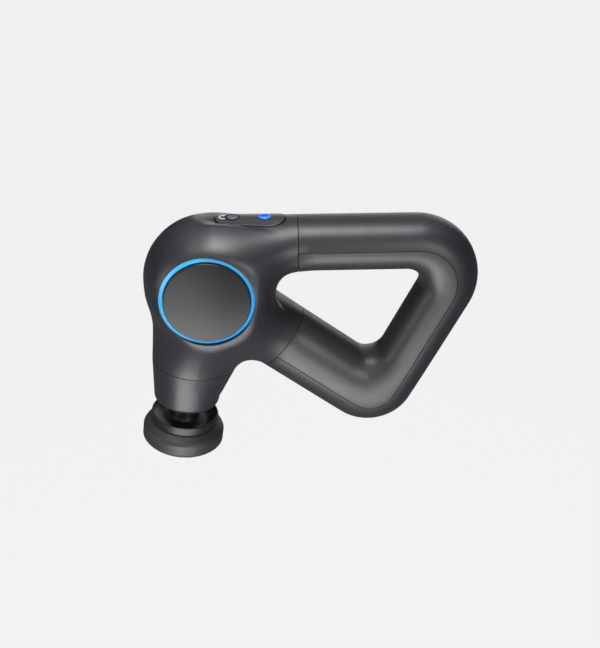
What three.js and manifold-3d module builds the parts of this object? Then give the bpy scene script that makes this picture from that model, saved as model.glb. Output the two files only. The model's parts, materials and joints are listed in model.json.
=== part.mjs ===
// Percussion massage gun with a triangular handle.
//
// Millimetres, +Z up. Everything is first placed in the hub frame: origin on the axis of the two
// round side covers, in the middle plane, X towards the handle, Y away from the gloss cover.
// The exported group then moves the origin to the centre of the massage head's flat face.
import * as THREE from "three";
import { mergeVertices } from "three/addons/utils/BufferGeometryUtils.js";
import Module from "manifold-3d";

const wasm = await Module();
wasm.setup();

// ---------------------------------------------------------------- driving dimensions
const GAP = 0.3; // between pieces that touch
const WALL = 2.4; // moulded casings
const HALF_DEPTH = 22; // handle, from the middle plane to its side
const ROUNDING = 18.2; // how far the side's rounding reaches in from the outline
const FAR = 400; // size of a cutting block
// How finely curves are faceted, on the outside of the casings and inside them.
const OUTSIDE = { arc: 3, bevel: 3, barrel: 36, shoulder: 3, nose: 28 };
const INSIDE = { arc: 2, bevel: 3, barrel: 20, shoulder: 2, nose: 16 };

const BAR_TOP = 45.4; // top edge of the top bar
const BAR_HEIGHT = 38;
const LOW_ANGLE = THREE.MathUtils.degToRad(36.9); // fall of the lower bar
const BACK_ANGLE = THREE.MathUtils.degToRad(63.5); // rise of the back bar
const TOP_SEAM_X = 64; // where the top bar meets the head
const LOW_SEAM = 71.7; // the same for the lower bar, measured along it from the hub
const HANDLE_SEAM = 17.5; // parting line of the handle, in from the outer outline

const BARREL_R = 44.6; // round head
const FRONT = { face: 38, edge: 9.2, shoulder: 27 }; // its rounding on the gloss cover's side
const REAR = { face: 34, edge: 10.7, shoulder: 30 }; // and on the other side
const OPENING_R = 33.7; // the front's round opening
const REAR_R = 32; // the rear's, and the ledge inside it
const LEDGE_R = 27.6;

const TILT = THREE.MathUtils.degToRad(7.5); // of the stroke from straight down
const CRANK_X = -7.5; // crank centre, from the hub
const CRANK_THROW = 8; // half of the 16 mm stroke
const NOSE_SEAM = 69.5; // distances down the stroke from the crank centre
const NOSE_END = 103;
const HEAD_FACE = 139.2;

const SHAFT_R = 6;
const MOTOR_SHAFT_R = 3;
const CELL_R = 9.1;
const CELL_LENGTH = 65;
const PANEL = { x0: 6, x1: 55.5, halfWidth: 11, proud: 1.6 };
const POWER_X = 18.5;
const MODE_X = 41;
const STATUS_X = 12;

// ---------------------------------------------------------------- materials
const paint = (color, roughness, metalness = 0) =>
  new THREE.MeshStandardMaterial({ color, roughness, metalness });
const graphite = paint(0x3a3a3f, 0.45);
const softBlack = paint(0x2b2b2e, 0.6);
const gloss = paint(0x1c1c20, 0.08);
const blueLight = paint(0x2fb0f0, 0.3);
const whiteLight = paint(0xd8dce4, 0.3);
const foam = paint(0x323236, 0.75);
const steel = paint(0xb8bcc2, 0.25, 1);
const aluminium = paint(0xa9adb3, 0.4, 0.9);
const bronze = paint(0xb08a4c, 0.4, 0.9);
const copper = paint(0xb4692f, 0.4, 0.9);
const magnet = paint(0x5a5c60, 0.4, 0.8);
const circuit = paint(0x1d5a38, 0.5);
const cellWrap = paint(0x2c6fb0, 0.45);
const rubber = paint(0x18181a, 0.8);
const whitePlastic = paint(0xdedbd2, 0.5);

// ---------------------------------------------------------------- solids
// A closed three.js geometry as a solid, whichever way its faces point.
function solid(geometry) {
  const bare = new THREE.BufferGeometry();
  bare.setAttribute("position", geometry.getAttribute("position"));
  bare.setIndex(geometry.index);
  const merged = mergeVertices(bare, 1e-4);
  const corners = merged.index.array;
  const triangles = [];
  for (let i = 0; i < corners.length; i += 3) {
    const [a, b, c] = corners.slice(i, i + 3);
    if (a !== b && b !== c && c !== a) triangles.push([a, b, c]);
  }
  const make = (list) =>
    new wasm.Manifold(
      new wasm.Mesh({
        numProp: 3,
        vertProperties: merged.attributes.position.array,
        triVerts: new Uint32Array(list.flat()),
      }),
    );
  const made = make(triangles);
  return made.volume() > 0 ? made : make(triangles.map(([a, b, c]) => [a, c, b]));
}

const join = (first, ...rest) => rest.reduce((sum, s) => sum.add(s), first);
const cut = (first, ...tools) => tools.reduce((left, s) => left.subtract(s), first);

function geometryOf(body) {
  const { numProp, numVert, vertProperties, triVerts } = body.getMesh();
  const positions = new Float32Array(numVert * 3);
  for (let i = 0; i < numVert; i++)
    positions.set(vertProperties.subarray(i * numProp, i * numProp + 3), i * 3);
  const geometry = new THREE.BufferGeometry();
  geometry.setAttribute("position", new THREE.BufferAttribute(positions, 3));
  geometry.setIndex(new THREE.BufferAttribute(triVerts, 1));
  return geometry;
}

// Turned about Z, from a profile of [radius, z] that starts and ends on the axis or closes.
function turned(profile, segments = 32) {
  const points = profile.map(([r, z]) => new THREE.Vector2(r, z));
  return solid(new THREE.LatheGeometry(points, segments).rotateX(Math.PI / 2));
}

// Turned about Y, from a profile of [radius, y].
function turnedY(profile, segments = 32) {
  const points = profile.map(([r, y]) => new THREE.Vector2(r, y));
  return solid(new THREE.LatheGeometry(points, segments));
}

const disc = (r, z0, z1, segments) => turned([[0, z0], [r, z0], [r, z1], [0, z1]], segments);
const discY = (r, y0, y1, segments) => turnedY([[0, y0], [r, y0], [r, y1], [0, y1]], segments);
const ring = (r0, r1, z0, z1, segments) =>
  turned([[r0, z0], [r1, z0], [r1, z1], [r0, z1], [r0, z0]], segments);
const ringY = (r0, r1, y0, y1, segments) =>
  turnedY([[r0, y0], [r1, y0], [r1, y1], [r0, y1], [r0, y0]], segments);

// A block between two corners.
function block([x0, y0, z0], [x1, y1, z1]) {
  const box = new THREE.BoxGeometry(x1 - x0, y1 - y0, z1 - z0);
  return solid(box.translate((x0 + x1) / 2, (y0 + y1) / 2, (z0 + z1) / 2));
}

// A flat shape drawn in X and Z, as a plate from y0 to y1.
function plate(shape, y0, y1, curveSegments = 4) {
  const made = new THREE.ExtrudeGeometry(shape, {
    depth: y1 - y0,
    bevelEnabled: false,
    curveSegments,
  });
  return solid(made.rotateX(Math.PI / 2).translate(0, y1, 0));
}

// A body of the stroke frame (origin at the crank centre, -Z down the stroke), in the hub frame.
const strokeMatrix = new THREE.Matrix4()
  .makeTranslation(CRANK_X, 0, 0)
  .multiply(new THREE.Matrix4().makeRotationY(TILT));
const onStroke = (body) => body.transform(strokeMatrix.elements);
const strokePoint = (down) => new THREE.Vector3(0, 0, -down).applyMatrix4(strokeMatrix);

// ---------------------------------------------------------------- outlines
// Corners are [x, z, radius]. Each is rounded by an arc that touches both of its sides.
function rounded(corners, Kind = THREE.Shape) {
  const path = new Kind();
  corners.forEach(([x, z, r], i) => {
    const here = new THREE.Vector2(x, z);
    const [px, pz] = corners.at(i - 1);
    const [nx, nz] = corners[(i + 1) % corners.length];
    const back = new THREE.Vector2(px, pz).sub(here).normalize();
    const on = new THREE.Vector2(nx, nz).sub(here).normalize();
    const half = Math.acos(back.dot(on)) / 2;
    const middle = back.clone().add(on).normalize();
    const centre = here.clone().addScaledVector(middle, r / Math.sin(half));
    const start = here.clone().addScaledVector(back, r / Math.tan(half)).sub(centre);
    const end = here.clone().addScaledVector(on, r / Math.tan(half)).sub(centre);
    const clockwise = start.cross(end) < 0;
    path.absarc(centre.x, centre.y, r, start.angle(), end.angle(), clockwise);
  });
  path.closePath();
  return path;
}

// The same outline moved inwards by d, for corners listed clockwise. A hole's corners, listed
// anticlockwise, move the other way, so the material between the two gets thinner.
function inset(corners, d) {
  const edges = corners.map(([x, z], i) => {
    const [nx, nz] = corners[(i + 1) % corners.length];
    const along = new THREE.Vector2(nx - x, nz - z).normalize();
    const inwards = new THREE.Vector2(along.y, -along.x);
    return { point: new THREE.Vector2(x, z).addScaledVector(inwards, d), along };
  });
  return corners.map(([, , r], i) => {
    const a = edges.at(i - 1);
    const b = edges[i];
    const between = b.point.clone().sub(a.point);
    const t = between.cross(b.along) / a.along.cross(b.along);
    const corner = a.point.clone().addScaledVector(a.along, t);
    const convex = a.along.cross(b.along) < 0;
    return [corner.x, corner.y, convex ? r - d : r + d];
  });
}

// Point and direction of a line, and where two lines cross.
const line = (x, z, angle) => ({
  x,
  z,
  dx: Math.cos(angle),
  dz: Math.sin(angle),
});
function crossing(a, b) {
  const t = ((b.x - a.x) * b.dz - (b.z - a.z) * b.dx) / (a.dx * b.dz - a.dz * b.dx);
  return [a.x + a.dx * t, a.z + a.dz * t];
}

const topEdge = line(0, BAR_TOP, 0);
const topInner = line(0, BAR_TOP - BAR_HEIGHT, 0);
const backEdge = line(172.4, -55, BACK_ANGLE);
const backInner = line(136.8, -37.2, BACK_ANGLE);
const lowEdge = line(63.7, -88.8, -LOW_ANGLE);
const lowInner = line(94.1, -48, -LOW_ANGLE);
const noseRight = line(8, -94.5, THREE.MathUtils.degToRad(66.3));

const OUTLINE = [
  [-BARREL_R, BAR_TOP, 44],
  [...crossing(topEdge, backEdge), 47],
  [...crossing(backEdge, lowEdge), 35.6],
  [...crossing(lowEdge, noseRight), 15],
  [4.4, -104, 19.5],
  [-43.4, -98.2, 19.5],
  [-40.4, -38, 60],
  [-BARREL_R, -10, 40],
];
const HOLE = [
  [...crossing(topInner, lowInner), 12.5],
  [...crossing(lowInner, backInner), 12],
  [...crossing(backInner, topInner), 11],
];

// The slab that the outline bounds, with rounded sides, made smaller all over by `less`.
function slab(less, detail = OUTSIDE) {
  const shape = rounded(inset(OUTLINE, less));
  shape.holes.push(rounded(inset(HOLE, less), THREE.Path));
  const core = 1;
  const made = new THREE.ExtrudeGeometry(shape, {
    depth: 2 * core,
    bevelEnabled: true,
    bevelSize: ROUNDING - less,
    bevelOffset: less - ROUNDING,
    bevelThickness: HALF_DEPTH - less - core,
    bevelSegments: detail.bevel,
    curveSegments: detail.arc,
  });
  return solid(made.rotateX(Math.PI / 2).translate(0, core, 0));
}

// The round head, smaller all over by `less`.
function barrel(less, detail = OUTSIDE) {
  const r = BARREL_R - less;
  const rounding = ({ face, edge, shoulder }) =>
    Array.from({ length: detail.shoulder + 1 }, (_, i) => {
      const a = (i / detail.shoulder) * (Math.PI / 2);
      return [r - edge * (1 - Math.cos(a)), face - less - (shoulder - less) * (1 - Math.sin(a))];
    });
  const front = rounding(FRONT).map(([x, y]) => [x, -y]).reverse();
  const ends = [[0, less - FRONT.face], ...front, ...rounding(REAR), [0, REAR.face - less]];
  return turnedY(ends, detail.barrel);
}

// The nose, a cone down the stroke with a rounded rim, smaller all over by `less`.
function nose(less, detail = OUTSIDE) {
  const rim = 3.5;
  return onStroke(
    turned(
      [
        [0, -20],
        [30 - less, -20],
        [29.6 - less, -45],
        [28.6 - less, -NOSE_SEAM],
        [25.4 - less, -(NOSE_END - rim)],
        [24.4 - less, -(NOSE_END - rim / 3)],
        [22 - less, -(NOSE_END - less)],
        [0, -(NOSE_END - less)],
      ],
      detail.nose,
    ),
  );
}

// ---------------------------------------------------------------- cutting blocks
// Everything that belongs to the handle, at a distance past the two seams with the head.
function handleZone(past) {
  const aboveHole = block([TOP_SEAM_X + past, -FAR, -7], [FAR, FAR, FAR]);
  const along = new THREE.Matrix4().makeRotationY(LOW_ANGLE);
  const low = block([LOW_SEAM + past, -FAR, -FAR], [FAR, FAR, FAR]).transform(along.elements);
  return join(aboveHole, low.subtract(block([-FAR, -FAR, -7], [FAR, FAR, FAR])));
}
const belowStroke = (down) => onStroke(block([-FAR, -FAR, -FAR], [FAR, FAR, -down]));

// ---------------------------------------------------------------- casings
const outer = join(slab(0), barrel(0), nose(0));
const hollow = join(slab(WALL, INSIDE), barrel(WALL, INSIDE), nose(WALL, INSIDE));

// A stadium along X, for the panel and its opening, `more` larger all round.
function stadium(more) {
  const { x0, x1, halfWidth } = PANEL;
  const r = halfWidth + more;
  const shape = new THREE.Shape();
  shape.absarc(x0 + halfWidth, 0, r, Math.PI / 2, -Math.PI / 2, false);
  shape.absarc(x1 - halfWidth, 0, r, -Math.PI / 2, Math.PI / 2, false);
  return solid(
    new THREE.ExtrudeGeometry(shape, { depth: 30, bevelEnabled: false, curveSegments: 6 }).translate(
      0,
      0,
      30,
    ),
  );
}

const REAR_SCREWS = [30, 150, 270].map((a) => THREE.MathUtils.degToRad(a));
const REAR_SCREW_R = 28.6;
const CHASSIS_SCREWS = [-35, 35, 85, 130].map((a) => THREE.MathUtils.degToRad(a));
const CHASSIS_SCREW_R = 25.4;
const VENT_ANGLE = THREE.MathUtils.degToRad(123);

// A copy of a body along Y at each angle, at radius r from the hub axis.
const around = (angles, r, make) =>
  angles.map((a) => make().translate([r * Math.cos(a), 0, r * Math.sin(a)]));

// The crown's slot: a lozenge across the barrel's wall, `less` smaller on each side.
function ventSlot(less, r0, r1) {
  const width = 11.5 - 2 * less;
  const depth = 2.4 - 2 * less;
  const body = block([-width / 2, -depth / 2, r0], [width / 2, depth / 2, r1]);
  const turn = new THREE.Matrix4().makeRotationY(Math.PI / 2 - VENT_ANGLE);
  return body.transform(turn.elements);
}

function headHousing() {
  const shell = cut(outer, hollow);
  const front = ringY(29.2, 41, -29.5, -27);
  const rear = ringY(LEDGE_R, 37.4, 27.6, 30.4);
  const bulkhead = cut(ringY(22.6, 43.4, 5.8, 8.8), onStroke(block([-10, 0, -60], [10, 20, -8])));
  const noseLedge = onStroke(ring(19.5, 28, -65.5, -62.5));
  const whole = join(shell, front, rear, bulkhead, noseLedge);
  return cut(
    whole,
    discY(REAR_R, 30.4, FAR),
    discY(OPENING_R, -FAR, -29.5),
    stadium(0.4),
    ventSlot(0, 40, 50),
    handleZone(0),
    belowStroke(NOSE_SEAM - GAP / 2),
    ...around(REAR_SCREWS, REAR_SCREW_R, () => discY(1.6, 25, 35, 8)),
    ...around(CHASSIS_SCREWS, CHASSIS_SCREW_R, () => discY(1.6, 5, 10, 8)),
  );
}

function noseCollar() {
  const shell = cut(outer, hollow, handleZone(-GAP));
  const bored = cut(shell, onStroke(disc(14.5, -110, -90)));
  return bored.intersect(belowStroke(NOSE_SEAM + GAP / 2));
}

const HANDLE_SCREW_X = [84, 132];
const handleBody = slab(0).intersect(handleZone(GAP));
const handleHollow = slab(WALL, INSIDE);
const insidePart = (d) => plate(rounded(inset(OUTLINE, d)), -60, 60);

const PORT = { x: 118.4, z: -119.6, halfLength: 4.6, halfWidth: 1.8, depth: 8.5 };
function portOpening(more) {
  const r = PORT.halfWidth + more;
  const run = PORT.halfLength - PORT.halfWidth;
  const shape = new THREE.Shape();
  shape.absarc(-run, 0, r, Math.PI / 2, -Math.PI / 2, false);
  shape.absarc(run, 0, r, -Math.PI / 2, Math.PI / 2, false);
  return new THREE.ExtrudeGeometry(shape, { depth: 30, bevelEnabled: false, curveSegments: 3 });
}

function handleOuterShell() {
  const shell = cut(handleBody, handleHollow, insidePart(HANDLE_SEAM - GAP / 2));
  const bosses = HANDLE_SCREW_X.map((x) =>
    cut(disc(4.5, 22, 46, 20), disc(1.8, 20, 34, 12)).translate([x, 0, 0]),
  );
  const port = solid(portOpening(GAP)).translate([PORT.x, 0, PORT.z - 12]);
  return cut(join(shell, ...bosses), port);
}

function handleInnerShell() {
  const shell = cut(handleBody, handleHollow).intersect(insidePart(HANDLE_SEAM + GAP / 2));
  const posts = HANDLE_SCREW_X.map((x) => disc(5, 10.2, 21.7, 20).translate([x, 0, 0]));
  const bores = HANDLE_SCREW_X.map((x) =>
    join(disc(3.4, 0, 17, 16), disc(1.8, 0, 30, 12)).translate([x, 0, 0]),
  );
  return cut(join(shell, ...posts), ...bores);
}

function handleScrew() {
  const head = cut(disc(3, 14.4, 16.7, 12), disc(1.4, 14, 15.6, 6));
  return join(head, disc(1.45, 16, 32, 8));
}

// ---------------------------------------------------------------- control panel
const buttonHole = (r) => disc(r, 30, 60, 24);
// A crescent light: a ring that is open towards the power button.
function statusLight(less) {
  const crescent = cut(ring(2.0 + less, 3.4 - less, 41, 60, 24), block([1.2 - less, -5, 0], [9, 5, 80]));
  return crescent.translate([STATUS_X, 0, 0]);
}

function controlPanel() {
  const skin = cut(slab(-PANEL.proud), slab(2));
  return cut(
    skin.intersect(stadium(0)),
    buttonHole(4.65).translate([POWER_X, 0, 0]),
    buttonHole(5.35).translate([MODE_X, 0, 0]),
    statusLight(0),
  );
}

function button(r, top) {
  return turned(
    [[0, 41.5], [r + 0.8, 41.5], [r + 0.8, 42.2], [r, 42.2], [r, top - 0.4], [r - 0.5, top], [0, top]],
    24,
  );
}

const BOARD_TOP = 38.8;
function buttonBoard() {
  return block([9, -6.5, BOARD_TOP - 1.6], [50, 6.5, BOARD_TOP]);
}
function tactSwitch() {
  const body = block([-3, -3, BOARD_TOP + GAP], [3, 3, BOARD_TOP + 1.4]);
  return join(body, disc(1.5, BOARD_TOP + 1, BOARD_TOP + 2, 12));
}

// ---------------------------------------------------------------- side covers
function lightRing() {
  const [inner, rim] = [31, OPENING_R - GAP];
  return turnedY(
    [[inner, -31.7], [rim, -31.7], [rim, -37.6], [32.9, -38.1], [inner, -39.3], [inner, -31.7]],
    40,
  );
}
const discCarrier = () => discY(30.7, -35, -31.7, 44);
function frontDisc() {
  return turnedY([[0, -35.3], [29.9, -35.3], [29.9, -40.6], [29.3, DISC_FACE], [0, DISC_FACE]], 44);
}
const DISC_FACE = -41.2;
const REAR_FACE = 34.6;
const ledBoard = () => ringY(22, 33.2, -31.4, -29.8, 36);

function rearCover() {
  const rim = REAR_R - GAP;
  const profile = [
    [0, 31.6], [25, 31.6], [25, 30.7], [rim, 30.7], [rim, 33.6], [rim - 1, REAR_FACE], [0, REAR_FACE],
  ];
  const bores = around(REAR_SCREWS, REAR_SCREW_R, () =>
    join(discY(2.2, 32.6, 45, 12), discY(1.6, 20, 45, 8)),
  );
  return cut(turnedY(profile, 36), ...bores);
}

// A pan-head screw along Y, head outwards, with a six-sided socket.
function screwY(headR, shankR, headY, length) {
  const head = cut(discY(headR, headY, headY + 1.8, 12), discY(headR * 0.5, headY + 0.7, headY + 3, 6));
  return join(head, discY(shankR, headY - length, headY + 0.3, 8));
}

// ---------------------------------------------------------------- motor and crank, at the crank centre
function motorMount() {
  const plateBody = discY(27.2, 9.1, 11.6, 36);
  const boss = discY(9.5, 9.1, 24.6, 28).translate([CRANK_X, 0, 0]);
  const bore = discY(7.8, 0, 40, 28).translate([CRANK_X, 0, 0]);
  const holes = around(CHASSIS_SCREWS, CHASSIS_SCREW_R, () => discY(1.6, 5, 15, 8));
  return cut(join(plateBody, boss), bore, ...holes);
}
const bearing = (y) =>
  turnedY(
    [
      [MOTOR_SHAFT_R + GAP, y], [7.5, y], [7.5, y + 5], [6.2, y + 5], [6.2, y + 4.5],
      [4.6, y + 4.5], [4.6, y + 5], [MOTOR_SHAFT_R + GAP, y + 5], [MOTOR_SHAFT_R + GAP, y],
    ],
    20,
  );

const TEETH = 9;
function statorCore() {
  const shape = new THREE.Shape();
  const pitch = (2 * Math.PI) / TEETH;
  const corners = [[12.2, -0.5], [12.2, -0.17], [14.4, -0.14], [14.6, -0.4], [16, -0.4], [16, 0.4], [14.6, 0.4], [14.4, 0.14], [12.2, 0.17]];
  for (let i = 0; i < TEETH; i++)
    for (const [r, share] of corners) {
      const a = (i + share) * pitch;
      const point = [r * Math.cos(a), r * Math.sin(a)];
      if (i === 0 && share === -0.5) shape.moveTo(...point);
      else shape.lineTo(...point);
    }
  return cut(plate(shape, 14.2, 23.6), discY(9.8, 0, 40, 28));
}
// End turns of the windings: a ring with one rounded hump over each tooth.
function windingEnd(y0, y1) {
  const humps = Array.from({ length: TEETH }, (_, i) => {
    const a = ((2 * Math.PI) / TEETH) * i;
    return discY(2.5, y0, y1, 8).translate([13 * Math.cos(a), 0, 13 * Math.sin(a)]);
  });
  return join(ringY(10.4, 14, y0, y1, 18), ...humps);
}

function rotorBell() {
  const can = turnedY(
    [
      [3.3, 25.2], [6, 25.2], [6, 26.4], [17.9, 26.4], [17.9, 13.8], [19, 13.8], [19, 27.2],
      [18, 28.2], [3.3, 28.2], [3.3, 25.2],
    ],
    28,
  );
  const vents = Array.from({ length: 6 }, (_, i) => {
    const a = (Math.PI / 3) * i;
    return discY(2.6, 25, 40, 8).translate([11.5 * Math.cos(a), 0, 11.5 * Math.sin(a)]);
  });
  return cut(can, ...vents);
}
const magnetRing = () => ringY(16.4, 17.6, 14, 24.6, 28);
const motorShaft = () => discY(MOTOR_SHAFT_R, 5, 29.5, 20);

function crankDisc() {
  const weight = discY(14, 4.6, 8.6, 36).intersect(block([-20, 0, -20], [-1, 20, 20]));
  const body = join(discY(11.6, 4.6, 8.6, 32), weight);
  const pin = discY(2.8, 0, 20, 16).translate([CRANK_THROW, 0, 0]);
  return cut(body, discY(MOTOR_SHAFT_R + GAP, 0, 20, 24), pin);
}
function crankPin() {
  return turnedY([[0, -5.6], [3.7, -5.6], [3.7, -4.4], [2.5, -4.4], [2.5, 8.4], [0, 8.4]], 16);
}
const crankRoller = () => ringY(2.8, 5, -3.9, 3.9, 28);

// The slot lets the roller swing across. Its height leaves room for the part of the roller's
// path that a joint with a constant ratio can't follow.
const YOKE_SEAT = -24;
function yoke() {
  const body = rounded([[-19.8, 11.8, 4], [19.8, 11.8, 4], [19.8, -11.8, 4], [-19.8, -11.8, 4]]);
  const slot = new THREE.Shape();
  slot.absarc(-8.4, 0, 7, Math.PI / 2, -Math.PI / 2, false);
  slot.absarc(8.4, 0, 7, -Math.PI / 2, Math.PI / 2, false);
  const neck = block([-8, -4, -26], [8, 4, -11]);
  const socket = disc(8.6, -33, YOKE_SEAT, 28);
  const bore = disc(SHAFT_R + GAP, -FAR, YOKE_SEAT - 0.8, 28);
  return cut(join(plate(body, -4, 4), neck, socket), plate(slot, -20, 20), bore);
}

const SPIGOT_TOP = 112;
const SPIGOT_END = 129;
const GROOVE = 120;
function plungerShaft() {
  return turned(
    [
      [0, YOKE_SEAT - 1.2], [SHAFT_R, YOKE_SEAT - 1.2], [SHAFT_R, -(GROOVE - 1.2)], [4.5, -(GROOVE - 1.2)],
      [4.5, -(GROOVE + 1.2)], [SHAFT_R, -(GROOVE + 1.2)], [SHAFT_R, -(SPIGOT_END - 1)],
      [SHAFT_R - 1, -SPIGOT_END], [0, -SPIGOT_END],
    ],
    28,
  );
}
function retainingRing() {
  const section = Array.from({ length: 9 }, (_, i) => {
    const a = (i / 8) * 2 * Math.PI;
    return [5.6 + 0.7 * Math.cos(a), -GROOVE + 0.7 * Math.sin(a)];
  });
  return turned(section, 24);
}
function guideCarrier() {
  return turned(
    [
      [8.4, -62], [13, -62], [13, -65.8], [24.6, -65.8], [24.6, -68.8], [13.6, -68.8],
      [13, -97.3], [8.4, -97.3], [8.4, -62],
    ],
    32,
  );
}
const guideSleeve = () => ring(SHAFT_R + GAP, 8.1, -97, -63, 28);
const shaftSeal = () => ring(SHAFT_R + 0.4, 13.2, -100, -97.6, 28);

// ---------------------------------------------------------------- massage head
function headBase() {
  return turned(
    [
      [6.6, -SPIGOT_TOP], [9.4, -SPIGOT_TOP], [10.2, -119], [18, -120.4], [23.2, -117],
      [24, -115], [25, -114.8], [25.5, -115.6], [25.1, -121.9], [13.4, -121.9], [13.4, -132],
      [0, -132], [0, -130], [6.6, -130], [6.6, -SPIGOT_TOP],
    ],
    32,
  );
}
function headPad() {
  return turned(
    [
      [0, -132.4], [13.8, -132.4], [13.8, -122.2], [25.3, -122.2], [30.2, -126.2], [30.9, -127.4],
      [30.8, -136.8], [30.2, -138.4], [28.9, -HEAD_FACE], [0, -HEAD_FACE],
    ],
    36,
  );
}

// ---------------------------------------------------------------- electronics and battery
function controllerBoard() {
  const board = discY(26.5, -24.2, -22.6, 36);
  const pillars = around([90, 210, 330].map(THREE.MathUtils.degToRad), 23.8, () => discY(1.6, -29.5, -24, 10));
  const chips = [
    [[-6, -22.7, -6], [6, -21, 6]],
    [[9, -22.7, -12], [17, -20.4, -5]],
    [[9, -22.7, 4], [18, -19.6, 12]],
    [[-18, -22.7, -4], [-11, -19.4, 8]],
  ].map(([low, high]) => block(low, high));
  return join(board, ...pillars, ...chips);
}

// A row along a bar of the handle: local X runs along the bar, local Z across it in the plane.
function along(x, z, angle) {
  return new THREE.Matrix4()
    .makeTranslation(x, 0, z)
    .multiply(new THREE.Matrix4().makeRotationY(-angle));
}
const lowRow = along(90, -75.3, -LOW_ANGLE);
const backRow = along(153.7, -47.9, BACK_ANGLE);
const CELL_SPACE = CELL_R + GAP / 2;

function cell() {
  const half = CELL_LENGTH / 2;
  const turnedCell = turned(
    [[0, -half], [CELL_R, -half], [CELL_R, half - 1.2], [CELL_R - 1, half - 0.6], [3, half - 0.6], [3, half + 0.8], [0, half + 0.8]],
    20,
  );
  return turnedCell.transform(new THREE.Matrix4().makeRotationY(Math.PI / 2).elements);
}
// Two end cheeks joined by a spine between the cells.
function cellHolder(acrossY) {
  const half = CELL_LENGTH / 2;
  const [y, z] = acrossY ? [15.5, 8] : [8, 15.5];
  const cheeks = [-half - 3.2, half + 1.2].map((x) => block([x, -y, -z], [x + 2, y, z]));
  const spine = acrossY
    ? block([-half - 3, -1.4, 8.6], [half + 3, 1.4, 11])
    : block([-half - 3, 8.6, -1.4], [half + 3, 11, 1.4]);
  const web = acrossY
    ? [-half - 3.2, half + 1.2].map((x) => block([x, -3, 0], [x + 2, 3, 11]))
    : [-half - 3.2, half + 1.2].map((x) => block([x, 0, -3], [x + 2, 11, 3]));
  return join(...cheeks, spine, ...web);
}
const batteryBoard = () => block([-22, -13.4, -7], [22, -11.8, 7]);

// The charging socket opens downwards at the lower corner of the handle.
function chargePort() {
  const low = PORT.z + 0.2;
  const can = solid(portOpening(0).scale(1, 1, PORT.depth / 30)).translate([PORT.x, 0, low]);
  const mouth = solid(portOpening(-0.4)).scale([1, 1, (PORT.depth - 1.5) / 30]).translate([PORT.x, 0, low - 0.1]);
  const tongue = block([PORT.x - 3, -0.35, low + 1.2], [PORT.x + 3, 0.35, low + PORT.depth - 1]);
  return join(cut(can, mouth), tongue);
}
function portBoard() {
  const z = PORT.z + PORT.depth + 0.5;
  return block([PORT.x - 9, -6, z], [PORT.x + 9, 6, z + 1.6]);
}

// A lead held all the way inside the casings, from the battery board to the controller.
function batteryLead() {
  const route = new THREE.CatmullRomCurve3(
    [[66, -13.6, -59], [54, -14.5, -47], [42, -16, -34], [33, -17.5, -22], [26, -18.4, -10], [21, -18.4, -1]].map(
      (p) => new THREE.Vector3(...p),
    ),
  );
  const section = new THREE.Shape().absarc(0, 0, 1.6, 0, 2 * Math.PI);
  const made = new THREE.ExtrudeGeometry(section, { steps: 14, curveSegments: 4, extrudePath: route });
  return solid(made);
}

// ---------------------------------------------------------------- assembly
const assembly = new THREE.Group();
function piece(name, body, material) {
  const mesh = new THREE.Mesh(geometryOf(body), material);
  mesh.name = name;
  assembly.add(mesh);
}
const atCrank = (body) => body.translate([CRANK_X, 0, 0]);
// The crank stands square to the stroke, so that the head is in the middle of its travel.
const onCrank = (body) => onStroke(body);

piece("head_housing", headHousing(), graphite);
piece("nose_collar", noseCollar(), graphite);
piece("handle_outer_shell", handleOuterShell(), softBlack);
piece("handle_inner_shell", handleInnerShell(), graphite);
HANDLE_SCREW_X.forEach((x, i) => piece(`handle_screw_${i + 1}`, handleScrew().translate([x, 0, 0]), steel));

piece("control_panel", controlPanel(), softBlack);
piece("power_button", button(4.3, 47.7).translate([POWER_X, 0, 0]), gloss);
piece("mode_button", button(5, 47.7).translate([MODE_X, 0, 0]), blueLight);
piece("status_light", statusLight(GAP).intersect(block([0, -20, 43.8], [60, 20, 47.1])), whiteLight);
piece("button_board", buttonBoard(), circuit);
piece("power_switch", tactSwitch().translate([POWER_X, 0, 0]), rubber);
piece("mode_switch", tactSwitch().translate([MODE_X, 0, 0]), rubber);

piece("front_disc", frontDisc(), gloss);
piece("disc_carrier", discCarrier(), softBlack);
piece("light_ring", lightRing(), blueLight);
piece("led_board", ledBoard(), circuit);
piece("rear_cover", rearCover(), softBlack);
around(REAR_SCREWS, REAR_SCREW_R, () => screwY(1.9, 1.25, 32.9, 7)).forEach((screw, i) =>
  piece(`rear_cover_screw_${i + 1}`, screw, steel),
);
piece("crown_vent", ventSlot(GAP, 42, BARREL_R - 0.9), rubber);

piece("motor_mount", motorMount(), aluminium);
around(CHASSIS_SCREWS, CHASSIS_SCREW_R, () => screwY(1.9, 1.25, 11.9, 7)).forEach((screw, i) =>
  piece(`motor_mount_screw_${i + 1}`, screw, steel),
);
piece("bearing_crank_side", atCrank(bearing(9.4)), steel);
piece("bearing_cover_side", atCrank(bearing(19.3)), steel);
piece("stator_core", atCrank(statorCore()), magnet);
piece("winding_crank_side", atCrank(windingEnd(12.2, 13.9)), copper);
piece("winding_cover_side", atCrank(windingEnd(23.9, 25.4)), copper);
piece("rotor_bell", atCrank(rotorBell()), steel);
piece("rotor_magnets", atCrank(magnetRing()), magnet);
piece("motor_shaft", atCrank(motorShaft()), steel);
piece("crank_disc", onCrank(crankDisc()), steel);
piece("crank_pin", onCrank(crankPin().translate([CRANK_THROW, 0, 0])), steel);
piece("crank_roller", onCrank(crankRoller().translate([CRANK_THROW, 0, 0])), steel);

piece("yoke", onStroke(yoke()), aluminium);
piece("plunger_shaft", onStroke(plungerShaft()), steel);
piece("retaining_ring", onStroke(retainingRing()), rubber);
piece("guide_carrier", onStroke(guideCarrier()), whitePlastic);
piece("guide_sleeve", onStroke(guideSleeve()), bronze);
piece("shaft_seal", onStroke(shaftSeal()), rubber);

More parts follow.
